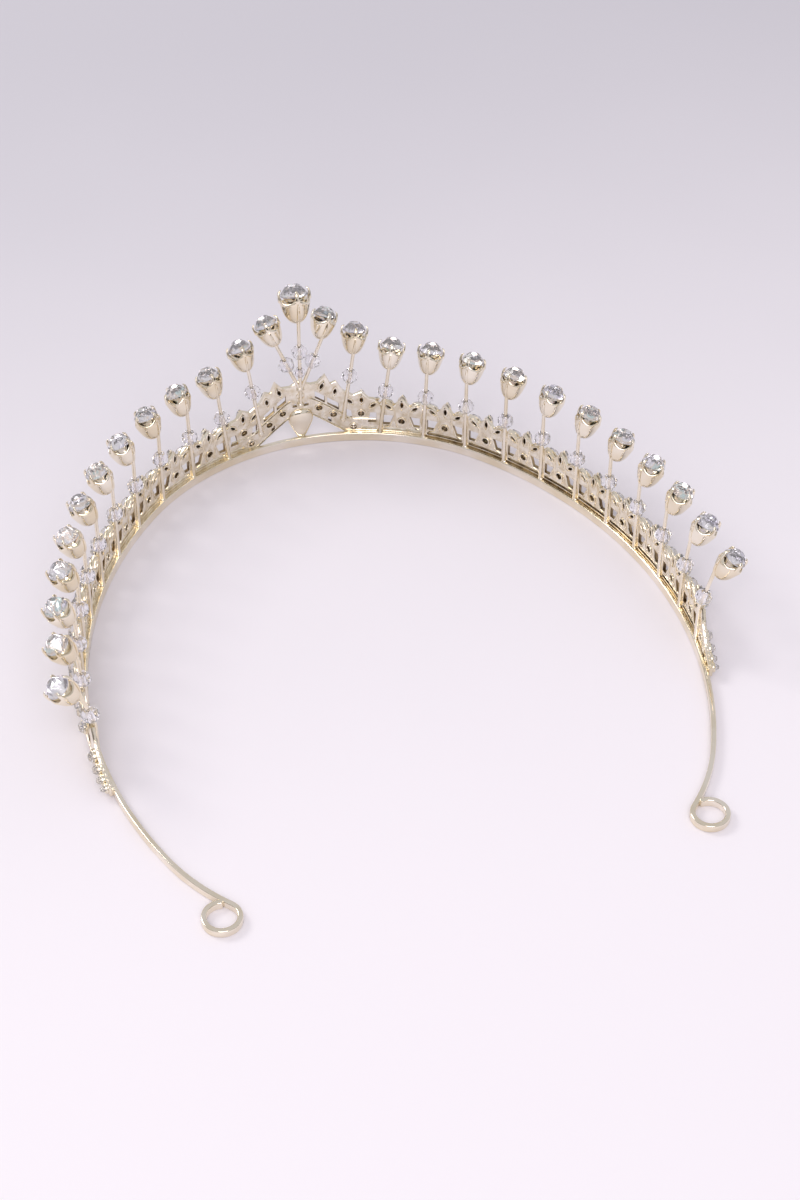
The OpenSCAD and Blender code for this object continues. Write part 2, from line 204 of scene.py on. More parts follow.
@dataclass(frozen=True)
class FoilBack:
    """Silver foil fused to the pavilion, with a thin film that shifts to lavender, peach and sea green.

    Its wrinkles are drawn at half a millimetre, coarser than real ones, so that they show.
    """
    name: str
    rough: float
    film_mm: float = 2.2
    wrinkle_mm: float = 0.5

    def make(self) -> bpy.types.Material:
        """Builds the material and returns it."""
        material, tree, out = new_material(self.name)
        place = add_node(tree, "ShaderNodeTexCoord").outputs["Object"]
        film = add_node(tree, "ShaderNodeTexNoise", {"Scale": 1 / (self.film_mm * MM), "Detail": 1.0},
                        {"Vector": place})
        colour = ramp(tree, film.outputs["Fac"], [
            (0.3, linear("#E4E0F4")), (0.43, linear("#FBF9FF")), (0.54, linear("#FFFFFF")),
            (0.61, linear("#FBE6D4")), (0.7, linear("#D4ECE8"))])
        wrinkle = add_node(tree, "ShaderNodeTexNoise", {"Scale": 1 / (self.wrinkle_mm * MM), "Detail": 2.0},
                           {"Vector": place})
        bump = add_node(tree, "ShaderNodeBump", {"Strength": 0.15, "Distance": 0.03 * MM},
                        {"Height": wrinkle.outputs["Fac"]})
        shader = add_node(tree, "ShaderNodeBsdfPrincipled", {"Metallic": 1.0, "Roughness": self.rough}, {
            "Base Color": colour.outputs["Color"], "Normal": bump.outputs["Normal"]})
        tree.links.new(shader.outputs[0], out.inputs[0])
        return material


@dataclass(frozen=True)
class PaleSweep:
    """Matt board, very pale, with a fine tooth. Its colour is painted darker towards the far end: a painted
    shade, where less lamp light falls.
    """
    name: str = "matt_painted_board"
    near: str = "#F9F5FB"
    far: str = "#D2D0D8"
    fade_mm: tuple[float, float] = (-300.0, 100.0)
    cloud_mm: float = 120.0
    drift_mm: float = 60.0
    tooth_mm: float = 0.6

    def make(self) -> bpy.types.Material:
        """Builds the material and returns it."""
        material, tree, out = new_material(self.name)
        place = add_node(tree, "ShaderNodeTexCoord").outputs["Object"]
        along = add_node(tree, "ShaderNodeSeparateXYZ", links={0: place}).outputs["Y"]
        cloud = add_node(tree, "ShaderNodeTexNoise", {"Scale": 1 / (self.cloud_mm * MM), "Detail": 2.0},
                         {"Vector": place})
        drift = add_node(tree, "ShaderNodeMath", {
            "operation": "MULTIPLY_ADD", 1: self.drift_mm * MM, 2: -self.drift_mm / 2 * MM},
            {0: cloud.outputs["Fac"]})
        level = add_node(tree, "ShaderNodeMath", {"operation": "ADD"}, {0: along, 1: drift.outputs[0]})
        fade = add_node(tree, "ShaderNodeMapRange", {
            "interpolation_type": "SMOOTHSTEP", "From Min": self.fade_mm[0] * MM,
            "From Max": self.fade_mm[1] * MM}, {"Value": level.outputs[0]})
        # Painted shade: the colour fades from the near colour to the darker far one along Y, its edge
        # wandering with the noise
        colour = ramp(tree, fade.outputs[0], [(0.0, linear(self.far)), (1.0, linear(self.near))])
        tooth = add_node(tree, "ShaderNodeTexNoise", {"Scale": 1 / (self.tooth_mm * MM), "Detail": 2.0},
                         {"Vector": place})
        bump = add_node(tree, "ShaderNodeBump", {"Strength": 0.08, "Distance": 0.05 * MM},
                        {"Height": tooth.outputs["Fac"]})
        shader = add_node(tree, "ShaderNodeBsdfPrincipled", {"Roughness": 0.6, "Specular IOR Level": 0.3}, {
            "Base Color": colour.outputs["Color"], "Normal": bump.outputs["Normal"]})
        tree.links.new(shader.outputs[0], out.inputs[0])
        return material


@dataclass(frozen=True)
class DarkFelt:
    """Brown felt on a card that is held beside the lamps: it gives bright metal its dark lines."""
    name: str = "brown_felt"
    light: str = "#54463A"
    deep: str = "#33281F"
    fibre_mm: float = 4.0

    def make(self) -> bpy.types.Material:
        """Builds the material and returns it."""
        material, tree, out = new_material(self.name)
        place = add_node(tree, "ShaderNodeTexCoord").outputs["Object"]
        fibre = add_node(tree, "ShaderNodeTexNoise", {"Scale": 1 / (self.fibre_mm * MM), "Detail": 4.0},
                         {"Vector": place})
        colour = ramp(tree, fibre.outputs["Fac"], [(0.35, linear(self.deep)), (0.65, linear(self.light))])
        shader = add_node(tree, "ShaderNodeBsdfPrincipled", {"Roughness": 0.95}, {
            "Base Color": colour.outputs["Color"]})
        tree.links.new(shader.outputs[0], out.inputs[0])
        return material


class Finish(Enum):
    """The finishes that the pieces are dressed in."""
    DRAWN = PlatedMetal("gold_flashed_drawn_wire", "#F7F0E2", "#EBE0C8", 0.07, 0.2, 0.7, 0.12)
    CAST = PlatedMetal("gold_flashed_casting", "#F6EFDF", "#E8DCC2", 0.1, 0.28, 0.45, 0.35)
    BACK = PlatedMetal("gold_flashed_casting_back", "#F7F1E3", "#DCCFB4", 0.14, 0.34, 0.5, 0.5, 1.8)
    # Painted shade: a dark brown laid on the walls of the openwork and on the seam over the band, where shade
    # and dark reflections fall
    PAINTED_RECESS_SHADE = PlatedMetal("painted_recess_shade", "#B5A07C", "#6E5940", 0.25, 0.45, 0.6, 0.3, 3.0)
    SPUN = PlatedMetal("gold_flashed_spun_cup", "#F7F0E0", "#EADDC2", 0.06, 0.17, 1.1, 0.12)
    CROWN = CutGlass("flame_polished_crystal", "#FBFAFD", 1.54, 0.0, 0.84)
    BEAD = CutGlass("pressed_clear_glass", "#F9F7FD", 1.4, 0.02, 0.92)
    FOIL = FoilBack("silver_foil_back", 0.1)
    BOARD = PaleSweep()
    FELT = DarkFelt()


MADE: dict[str, bpy.types.Material] = {}


def dress(piece: bpy.types.Object, *finishes: Finish) -> None:
    """Gives a piece its material slots, each face keeping the number of its slot.

    Args:
        piece: the mesh object.
        finishes: the finish of each slot in turn.
    """
    chosen = [face.material_index for face in piece.data.polygons]
    piece.data.materials.clear()
    for finish in finishes:
        if finish.name not in MADE:
            MADE[finish.name] = finish.value.make()
        piece.data.materials.append(MADE[finish.name])
    for face, slot in zip(piece.data.polygons, chosen):
        face.material_index = min(slot, len(finishes) - 1)


# Bench work: small helpers round Blender's operators

def clear_selection() -> None:
    """Leaves edit mode and deselects everything."""
    if bpy.context.object and bpy.context.object.mode != "OBJECT":
        bpy.ops.object.mode_set(mode="OBJECT")
    bpy.ops.object.select_all(action="DESELECT")


def pick(piece: bpy.types.Object) -> None:
    """Selects one object and makes it active."""
    clear_selection()
    piece.select_set(True)
    bpy.context.view_layer.objects.active = piece


def edit(piece: bpy.types.Object, mode: str = "FACE") -> None:
    """Opens a piece in edit mode with nothing selected.

    Args:
        piece: the mesh object.
        mode: VERT, EDGE or FACE.
    """
    pick(piece)
    bpy.ops.object.mode_set(mode="EDIT")
    bpy.ops.mesh.select_mode(type=mode)
    bpy.ops.mesh.select_all(action="DESELECT")


def leave() -> None:
    """Goes back to object mode."""
    bpy.ops.object.mode_set(mode="OBJECT")


def edit_faces(piece: bpy.types.Object, wanted: Callable[[bpy.types.MeshPolygon], bool]) -> None:
    """Opens a piece in edit mode with some of its faces selected.

    Args:
        piece: the mesh object.
        wanted: tells whether a face is one of them.
    """
    edit(piece)
    leave()
    for face in piece.data.polygons:
        face.select = wanted(face)
    bpy.ops.object.mode_set(mode="EDIT")


def delete_middle(piece: bpy.types.Object, near: float) -> None:
    """Deletes the faces in the middle plane, where two halves meet.

    Args:
        piece: the half that is built.
        near: how near to the plane all points of such a face are.
    """
    points = piece.data.vertices
    edit_faces(piece, lambda face: all(abs(points[i].co.x) < near for i in face.vertices))
    bpy.ops.mesh.delete(type="FACE")
    leave()


def tidy(piece: bpy.types.Object, merge: float = 0.001) -> None:
    """Merges doubled points and turns all faces outwards.

    Args:
        piece: the mesh object.
        merge: how near two points are, in the piece's own units, to become one.
    """
    edit(piece, "VERT")
    bpy.ops.mesh.select_all(action="SELECT")
    bpy.ops.mesh.remove_doubles(threshold=merge)
    bpy.ops.mesh.normals_make_consistent(inside=False)
    leave()


def smooth(piece: bpy.types.Object, degrees: float = 40) -> None:
    """Shades a piece smooth, with edges sharper than the angle kept crisp."""
    pick(piece)
    bpy.ops.object.shade_smooth_by_angle(angle=math.radians(degrees))


def apply_modifier(piece: bpy.types.Object, kind: str, **settings: object) -> None:
    """Adds a modifier and applies it.

    Args:
        piece: the mesh object.
        kind: the modifier's type.
        settings: its properties.
    """
    pick(piece)
    modifier = piece.modifiers.new(kind.lower(), kind)
    for key, value in settings.items():
        setattr(modifier, key, value)
    bpy.ops.object.modifier_apply(modifier=modifier.name)


def copy_to(source: bpy.types.Object, place: Matrix) -> bpy.types.Object:
    """Copies a piece, with a mesh of its own, to a place.

    Args:
        source: the piece that is modelled once.
        place: where the copy goes. Its faces stay outwards when the place mirrors it.

    Returns:
        The copy.
    """
    copy = source.copy()
    copy.data = source.data.copy()
    copy.data.transform(place)
    if place.determinant() < 0:
        copy.data.flip_normals()
    bpy.context.collection.objects.link(copy)
    return copy


def repeat(source: bpy.types.Object, name: str, places: list[Matrix]) -> bpy.types.Object:
    """Copies a piece to many places and joins the copies, the source itself being used up.

    Args:
        source: the piece that is modelled once.
        name: the joined piece's name.
        places: where each copy goes.

    Returns:
        The joined object.
    """
    copies = [copy_to(source, place) for place in places]
    bpy.data.objects.remove(source)
    return join(copies, name)


def join(pieces: list[bpy.types.Object], name: str) -> bpy.types.Object:
    """Joins pieces into the first one and names it.

    Args:
        pieces: mesh objects, which keep their materials.
        name: the joined piece's name.

    Returns:
        The joined object.
    """
    clear_selection()
    for piece in pieces:
        piece.select_set(True)
    bpy.context.view_layer.objects.active = pieces[0]
    if len(pieces) > 1:
        bpy.ops.object.join()
    pieces[0].name = name
    pieces[0].data.name = name
    return pieces[0]


def place_mesh(piece: bpy.types.Object) -> None:
    """Moves an object's place, turn and scale into its mesh."""
    piece.data.transform(piece.matrix_basis)
    piece.matrix_basis = Matrix.Identity(4)


def finish_piece(piece: bpy.types.Object, nodes: list[str] | None = None) -> bpy.types.Object:
    """Turns a finished piece from millimetres to metres and fastens it to the frame.

    Args:
        piece: the mesh object, modelled in millimetres.
        nodes: the solids that the piece stands for.

    Returns:
        The same object.
    """
    place_mesh(piece)
    piece.data.transform(Matrix.Scale(MM, 4))
    if nodes:
        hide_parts(*nodes)
    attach(piece, BODY)
    piece.data.calc_loop_triangles()
    log.info("%s: %d triangles", piece.name, len(piece.data.loop_triangles))
    return piece


def flat_shape(name: str, loops: list[list[tuple[float, float]]], back: float, front: float,
               edge: float) -> bpy.types.Object:
    """Makes an upright plate from closed outlines, its rim softly rounded.

    Args:
        name: the object's name.
        loops: the outer outline and then its holes, as x and height.
        back: the plate's back, in millimetres outward.
        front: the plate's front, in millimetres outward.
        edge: the radius of the rounded rim.

    Returns:
        The plate as a mesh that stands in the X and Z plane, its front towards -Y.
    """
    curve = bpy.data.curves.new(name, "CURVE")
    curve.dimensions = "2D"
    curve.fill_mode = "BOTH"
    curve.extrude = (front - back) / 2 - edge
    curve.bevel_depth = edge
    curve.bevel_resolution = 1
    curve.offset = -edge
    for loop in loops:
        spline = curve.splines.new("POLY")
        spline.points.add(len(loop) - 1)
        spline.use_cyclic_u = True
        for point, (x, z) in zip(spline.points, loop):
            point.co = (x, z, 0, 1)
    piece = bpy.data.objects.new(name, curve)
    bpy.context.collection.objects.link(piece)
    pick(piece)
    bpy.ops.object.convert(target="MESH")
    piece = bpy.context.object
    upright = Matrix.Rotation(math.radians(90), 4, "X")
    piece.data.transform(Matrix.Translation((0, -(front + back) / 2, 0)) @ upright)
    return piece


def bar(name: str, points: list[Vector], radii: list[float], sides: int = 4) -> bpy.types.Object:
    """Makes a round wire along points.

    Args:
        name: the object's name.
        points: the wire's centre line.
        radii: its radius at each point.
        sides: how finely the section is rounded.

    Returns:
        The wire as a closed mesh.
    """
    curve = bpy.data.curves.new(name, "CURVE")
    curve.dimensions = "3D"
    curve.bevel_depth = 1.0
    curve.bevel_resolution = sides
    curve.use_fill_caps = True
    spline = curve.splines.new("POLY")
    spline.points.add(len(points) - 1)
    for point, place, radius in zip(spline.points, points, radii):
        point.co = (*place, 1)
        point.radius = radius
    piece = bpy.data.objects.new(name, curve)
    bpy.context.collection.objects.link(piece)
    pick(piece)
    bpy.ops.object.convert(target="MESH")
    return bpy.context.object


def lathe(name: str, outline: list[tuple[float, float]], steps: int, turn: float = 360) -> bpy.types.Object:
    """Spins an outline about the Z axis.

    Args:
        name: the object's name.
        outline: radius and height of each point.
        steps: how many facets go round.
        turn: how far it turns, in degrees.

    Returns:
        The turned mesh, its points merged and its faces outwards.
    """
    bpy.ops.mesh.primitive_circle_add(vertices=len(outline), radius=1)
    piece = bpy.context.object
    piece.name = name
    for vertex, (radius, height) in zip(piece.data.vertices, outline):
        vertex.co = (radius, 0, height)
    edit(piece, "VERT")
    bpy.ops.mesh.select_all(action="SELECT")
    bpy.ops.mesh.spin(steps=steps, angle=-math.radians(turn), center=(0, 0, 0), axis=(0, 0, 1))
    leave()
    tidy(piece, 0.0005)
    return piece


# The line that everything follows

def ray(degrees: float) -> Vector:
    """Returns the flat unit vector that points outward at a turn of the band."""
    return Vector((math.sin(math.radians(degrees)), -math.cos(math.radians(degrees))))


@dataclass
class BandLine:
    """The band's centre line: a front arc, two flatter sides and two ends, mirrored about the middle."""
    front_r: float = 58
    front_deg: float = 47
    side_r: float = 102
    side_deg: float = 67
    end_r: float = 49
    end_deg: float = 21
    eyelet_r: float = 3.8
    origin_y: float = 13.42161

    def __post_init__(self) -> None:
        """Works out where each arc starts and its centre."""
        self.front_len = self.front_r * math.radians(self.front_deg)
        self.side_len = self.side_r * math.radians(self.side_deg)
        self.side_turn = self.front_deg + self.side_deg
        self.end_turn = self.side_turn + self.end_deg
        drop = Vector((0, -self.origin_y))
        self.front_c = drop
        self.side_c = drop + (self.front_r - self.side_r) * ray(self.front_deg)
        self.end_c = self.side_c + (self.side_r - self.end_r) * ray(self.side_turn)
        self.eyelet_c = self.end_c + (self.end_r + self.eyelet_r) * ray(self.end_turn)

    def turn(self, s: float) -> float:
        """Returns the band's turn in degrees at a signed distance from the middle."""
        a = abs(s)
        if a < self.front_len:
            t = math.degrees(a / self.front_r)
        elif a < self.front_len + self.side_len:
            t = self.front_deg + math.degrees((a - self.front_len) / self.side_r)
        else:
            t = self.side_turn + math.degrees((a - self.front_len - self.side_len) / self.end_r)
        return math.copysign(t, s)

    def point(self, s: float, outward: float = 0) -> Vector:
        """Returns the flat point at a signed distance from the middle and a distance outward."""
        a = abs(s)
        t = abs(self.turn(s))
        if a < self.front_len:
            centre, radius = self.front_c, self.front_r
        elif a < self.front_len + self.side_len:
            centre, radius = self.side_c, self.side_r
        else:
            centre, radius = self.end_c, self.end_r
        p = centre + (radius + outward) * ray(t)
        return Vector((math.copysign(p.x, s) if s else p.x, p.y))

    def place(self, s: float) -> Matrix:
        """Returns the place of a piece at a distance s, its X along the band and its -Y outward."""
        p = self.point(s)
        return Matrix.Translation((p.x, p.y, 0)) @ Matrix.Rotation(math.radians(self.turn(s)), 4, "Z")

    def wrap(self, piece: bpy.types.Object, step: float, reach: tuple[float, float]) -> None:
        """Cuts a flat piece into short lengths and lays it round the band.

        Args:
            piece: a mesh whose X is the distance along the band and whose -Y is outward.
            step: the length between two cuts.
            reach: the lowest and highest X of the piece.
        """
        edit(piece, "VERT")
        count = int((reach[1] - reach[0]) / step)
        for k in range(1, count + 1):
            bpy.ops.mesh.select_all(action="SELECT")
            bpy.ops.mesh.bisect(plane_co=(reach[0] + k * step, 0, 0), plane_no=(1, 0, 0))
        leave()
        self.bend(piece)

    def bend(self, piece: bpy.types.Object) -> None:
        """Lays a flat piece round the band, point by point."""
        for vertex in piece.data.vertices:
            p = self.point(vertex.co.x, -vertex.co.y)
            vertex.co = (p.x, p.y, vertex.co.z)
        piece.data.update()


LINE = BandLine()


def mirror_half(piece: bpy.types.Object) -> bpy.types.Object:
    """Adds the mirror image of a piece about the middle and merges the two."""
    apply_modifier(piece, "MIRROR", use_axis=(True, False, False), merge_threshold=0.002)
    tidy(piece)
    return piece


@dataclass
class Band:
    """The flat band, pressed from strip, its ends curled outward into eyelets."""
    height: float = 2.4
    thick: float = 1.2
    eyelet_deg: float = 330
    edge: float = 0.28
    taper: float = 0.2
    taper_y: tuple[float, float] = (30.0, 76.0)

    def build(self) -> bpy.types.Object:
        """Spins the section round each arc in turn and returns the finished band."""
        bpy.ops.mesh.primitive_plane_add(size=1, location=(0, 0, 0))
        piece = bpy.context.object
        piece.name = "band"
        y = LINE.point(0).y
        corners = [(-0.5, -0.5), (0.5, -0.5), (-0.5, 0.5), (0.5, 0.5)]
        for vertex, (a, b) in zip(piece.data.vertices, corners):
            vertex.co = (0, y + a * self.thick, self.height / 2 + b * self.height)
        arcs = [
            (LINE.front_c, LINE.front_deg, 26),
            (LINE.side_c, LINE.side_deg, 44),
            (LINE.end_c, LINE.end_deg, 12),
            (LINE.eyelet_c, -self.eyelet_deg, 44),
        ]
        edit(piece)
        bpy.ops.mesh.select_all(action="SELECT")
        for centre, degrees, steps in arcs:
            bpy.ops.mesh.spin(steps=steps, angle=-math.radians(degrees), center=(centre.x, centre.y, 0),
                              axis=(0, 0, 1))
        leave()
        delete_middle(piece, 0.001)
        self.lower_arms(piece)
        mirror_half(piece)
        apply_modifier(piece, "BEVEL", width=self.edge, segments=3, limit_method="ANGLE",
                       angle_limit=math.radians(50))
        smooth(piece, 35)
        dress(piece, Finish.DRAWN)
        return finish_piece(piece, ["frame"])

    def lower_arms(self, piece: bpy.types.Object) -> None:
        """Lets the upper edge of each arm fall a little towards its eyelet."""
        start, end = self.taper_y
        for vertex in piece.data.vertices:
            along = min(1.0, max(0.0, (vertex.co.y - start) / (end - start)))
            vertex.co.z *= 1 - self.taper * along


# The pierced strip

Loop = list[tuple[float, float]]


def flipped(loop: Loop) -> Loop:
    """Returns an outline mirrored left to right."""
    return [(-x, z) for x, z in loop]


def moved(loop: Loop, along: float, up: float = 0) -> Loop:
    """Returns an outline moved along and up."""
    return [(x + along, z + up) for x, z in loop]


def round_loop(radius: float, count: int) -> Loop:
    """Returns a round outline about zero."""
    turns = [2 * math.pi * k / count for k in range(count)]
    return [(radius * math.cos(q), radius * math.sin(q)) for q in turns]


def leaf_loop(length: float, width: float, count: int = 16) -> Loop:
    """Returns an upright leaf with pointed ends, about zero."""
    loop = []
    for k in range(count):
        q = 2 * math.pi * k / count
        swell = 1 if abs(math.sin(q)) < 0.1 else 0.86
        loop.append((width / 2 * math.sin(q), length / 2 * math.cos(q) * swell))
    return loop


def height_at(table: list[tuple[float, float]], s: float) -> float:
    """Reads a height from a table of distance and height."""
    for (a, low), (b, high) in zip(table, table[1:]):
        if a <= s <= b:
            return low + (high - low) * (s - a) / (b - a)
    return table[-1][1]


@dataclass(frozen=True)
class Seat:
    """The place of one set stone on the strip."""
    s: float
    z: float
    length: float
    width: float
    turn: float = 0

    def place(self, outward: float) -> Matrix:
        """Returns the seat's place on the flat strip, before it is wrapped."""
        return (Matrix.Translation((self.s, -outward, self.z))
                @ Matrix.Rotation(math.radians(self.turn), 4, "Y"))


@dataclass
class Strip:
    """The cast strip: rails, openwork, a leafed upper edge and a chevron in the middle."""
    back: float = 0.5
    thick: float = 1.0
    bevel: float = 0.13
    relief: float = 0.6
    leaf_relief: float = 0.35
    sunk: float = 0.05
    step: float = 1.5
    wall: float = 0.15
    hole_r: float = 0.8
    clear: float = 0.12
    rim: float = 0.36
    leaf_margins: tuple[float, float] = (0.08, 0.3)
    vein_margins: tuple[float, float] = (-0.45, -0.1)
    vein_depth: tuple[float, float] = (-0.24, 0.06)
    pitch: float = 11.2
    last: float = 131.8
    tail: float = 11.4
    round_r: float = 1.25
    last_chevron: float = 19.8
    seam: float = 2.8
    seam_top: float = 3.8
    # The stretch along the band where the seam keeps its painted shade
    seam_shade_stretch: tuple[float, float] = (-95.0, -30.0)
    low: tuple = ((0, 9.9), (3.6, 7.9), (12, 1.6), (13, 0.9), (30, 0.9))
    top: tuple = ((0, 19.6), (2.6, 18.2), (4.6, 18.4), (6.3, 20.6), (7.6, 17.6), (9, 18.2), (10.6, 15.3),
                  (13.2, 13.6), (15.3, 14.7), (17.2, 12.6), (18.4, 12.5), (19.8, 10.9))
    wing_top: tuple = ((-4.95, 12.1), (-3.6, 11.8), (-2.2, 10.6), (-1.2, 11.7), (0, 13.0), (1.2, 11.7),
                       (2.2, 10.6), (3.6, 11.8), (4.95, 12.1), (5.6, 10.9))
    end_rounds: tuple = ((2.5, 4.9, 1.25), (5.5, 3.8, 1.05), (7.95, 2.95, 0.85), (10.15, 2.4, 0.7))
    tail_top: tuple = ((0.9, 12.0), (2.6, 8.6), (6.4, 5.3), (11.4, 3.3))
    cell: tuple = ((3.0, 4.7), (4.6, 4.7), (4.6, 7.6), (2.0, 7.6))
    petals: tuple = (((0.3, 12.5), (1.3, 11.0), (1.7, 9.4), (1.6, 7.9), (1.6, 6.1), (1.0, 4.2)),
                     ((4.6, 11.9), (2.9, 10.9), (1.9, 9.3), (1.7, 7.9), (3.0, 4.4), (4.3, 3.9)),
                     ((5.4, 10.6), (5.0, 8.6), (5.1, 6.6), (5.5, 4.4)))
    ridge_r: float = 0.2
    leg: tuple[float, float, int] = (2.6, 0.9, 19)
    leg_ridges: tuple[float, float] = (0.5, 5.4)
    tail_grains: tuple[float, float, int] = (2.4, 1.2, 8)
    grain_r: float = 0.42
    notch: tuple = ((0, 10.55), (0.72, 10.53), (1.78, 10.18), (2.63, 9.1), (2.68, 8.41))
    rounds: list[Seat] = field(default_factory=list)
    leaves: list[Seat] = field(default_factory=list)

    def __post_init__(self) -> None:
        """Lists the seats of the set stones on the +X half."""
        r = 2 * self.round_r
        self.wings = [self.last_chevron + self.pitch * (k + 0.5) for k in range(10)]
        self.rounds = [Seat(s, z, r, r) for s, z in ((4.7, 10.6), (8.3, 8.1), (13.3, 3.9), (15.2, 8.0))]
        self.leaves = [
            Seat(5.4, 17.2, 4.0, 1.9, 20), Seat(8.7, 15.2, 3.6, 1.8, 10), Seat(12.4, 11.8, 3.6, 1.8, -40),
            Seat(15.3, 12.2, 4.0, 1.9, 0), Seat(18.2, 10.6, 3.4, 1.7, 50)]
        for middle in self.wings:
            self.rounds.append(Seat(middle, 6.1, r, r))
            self.leaves.append(Seat(middle, 11.1, 4.0, 1.9, 0))
            for side in (-1, 1):
                self.leaves.append(Seat(middle + side * 3.3, 10.3, 3.6, 1.8, side * 52))
        for s, z, radius in self.end_rounds:
            self.rounds.append(Seat(self.last + s, z, 2 * radius, 2 * radius))

    def face(self) -> float:
        """Returns how far outward the strip's front lies."""
        return self.back + self.thick

    def outline(self) -> Loop:
        """Returns the outline of the +X half, from the middle's foot round to its top."""
        lower = list(self.notch) + [(s, z) for s, z in self.low[1:-1]] + [(self.last + self.tail, 0.9)]
        upper = list(self.top)
        for middle in self.wings:
            upper += [(middle + x, z) for x, z in self.wing_top]
        upper += [(self.last + x, z) for x, z in self.tail_top]
        return lower + upper[::-1]

    def leg_slot(self, a: float, b: float, z0: float, z1: float) -> Loop:
        """Returns a slot along the chevron's lower edge, from a to b, between two heights above it."""
        return [(a, height_at(self.low, a) + z0), (b, height_at(self.low, b) + z0),
                (b, height_at(self.low, b) + z1), (a, height_at(self.low, a) + z1)]

    def holes(self) -> list[Loop]:
        """Returns the openwork of the +X half."""
        found = [
            self.leg_slot(3.7, 6.1, 6, 8), self.leg_slot(6.8, 9.6, 6, 8), self.leg_slot(6.9, 7.7, 0.9, 2.0),
            [(11.6, 6.4), (13.0, 6.4), (12.7, 8.8), (11.6, 9.5)],
            [(16.9, 5.2), (19.0, 5.2), (19.0, 8.2), (17.5, 8.2)],
            [(15.4, 3.0), (19.0, 3.0), (19.0, 3.7), (15.4, 3.7)],
            [(0.9, 11.8), (2.0, 11.8), (2.0, 12.4), (1.2, 12.8)],
        ]
        for middle in self.wings:
            found.append(moved([(-4.6, 3.0), (4.6, 3.0), (4.6, 3.7), (-4.6, 3.7)], middle))
            found += [moved(list(self.cell), middle), moved(flipped(list(self.cell)), middle)]
        for seat in self.rounds[:-3]:
            found.append(moved(round_loop(self.hole_r, 12), seat.s, seat.z))
        for seat in self.leaves:
            found.append(self.back_hole(seat))
        return found

    def back_hole(self, seat: Seat) -> Loop:
        """Returns the narrow hole behind a leaf stone, through which its foil shows."""
        turn = math.radians(seat.turn)
        loop = []
        for x, z in leaf_loop(seat.length * 0.46, seat.width * 0.42, 8):
            loop.append((seat.s + x * math.cos(turn) + z * math.sin(turn),
                         seat.z + z * math.cos(turn) - x * math.sin(turn)))
        return loop

    def all_rounds(self) -> list[Seat]:
        """Returns the round seats of both halves and the one in the middle."""
        r = 2 * self.round_r
        return [Seat(0, 15.0, r, r)] + self.rounds + [self.other(seat) for seat in self.rounds]

    def all_leaves(self) -> list[Seat]:
        """Returns the leaf seats of both halves."""
        return self.leaves + [self.other(seat) for seat in self.leaves]

    def other(self, seat: Seat) -> Seat:
        """Returns the mirror image of a seat."""
        return Seat(-seat.s, seat.z, seat.length, seat.width, -seat.turn)

    def build(self) -> list[bpy.types.Object]:
        """Builds the pierced plate, its bezels, the veins and the ridges and returns them."""
        plate = flat_shape("strip", [self.outline()] + self.holes(), self.back, self.face(), self.bevel)
        tidy(plate)
        self.score_seam(plate)
        self.shade_recesses(plate)
        LINE.wrap(plate, self.step, (0, self.last + self.tail))
        delete_middle(plate, 0.02)
        # The rounded rim there is drawn up to the middle plane
        for vertex in plate.data.vertices:
            if abs(vertex.co.x) < self.bevel + 0.01:
                vertex.co.x = 0
        mirror_half(plate)
        self.keep_seam_shade_in_stretch(plate)
        smooth(plate, 32)
        dress(plate, Finish.CAST, Finish.PAINTED_RECESS_SHADE, Finish.BACK)
        foot, front = self.face() - self.sunk, self.face()
        leaves, rounds = self.all_leaves(), self.all_rounds()
        vein_depth = (self.back + self.vein_depth[0], self.back + self.vein_depth[1])
        return [
            finish_piece(plate),
            self.rims("leaf_bezels", leaves, (foot, front + self.leaf_relief), self.leaf_margins, True),
            self.rims("round_bezels", rounds, (foot, front + self.relief),
                      (self.clear, self.clear + self.rim), True),
            self.rims("veins", leaves + rounds, vein_depth, self.vein_margins, False),
            self.ridges()]

    def score_seam(self, plate: bpy.types.Object) -> None:
        """Cuts the plate just above the band, so that the seam there can take the painted shade."""
        edit(plate)
        bpy.ops.mesh.select_all(action="SELECT")
        bpy.ops.mesh.bisect(plane_co=(0, 0, self.seam), plane_no=(0, 0, 1))
        leave()

    def shade_recesses(self, plate: bpy.types.Object) -> None:
        """Sets the finishes: 1, a painted shade, for the walls of the openwork and the seam, 2 for the back,
        0 for the rest.
        """
        boxes = []
        for hole in self.holes():
            xs, zs = [x for x, _ in hole], [z for _, z in hole]
            boxes.append((min(xs) - self.wall, max(xs) + self.wall, min(zs) - self.wall, max(zs) + self.wall))
        for face in plate.data.polygons:
            x, z = face.center.x, face.center.z
            wall = abs(face.normal.y) < 0.5 and any(a < x < b and c < z < d for a, b, c, d in boxes)
            back = face.normal.y > 0.5
            face.material_index = 1 if wall or (back and z < self.seam) else 2 if back else 0

    def keep_seam_shade_in_stretch(self, plate: bpy.types.Object) -> None:
        """Keeps the painted shade on the seam over the band, and on the walls just above it, along one
        stretch only; elsewhere these faces take the back's finish.
        """
        for face in plate.data.polygons:
            beyond_stretch = not self.seam_shade_stretch[0] < face.center.x < self.seam_shade_stretch[1]
            if beyond_stretch and face.center.z < self.seam_top and face.material_index == 1:
                face.material_index = 2

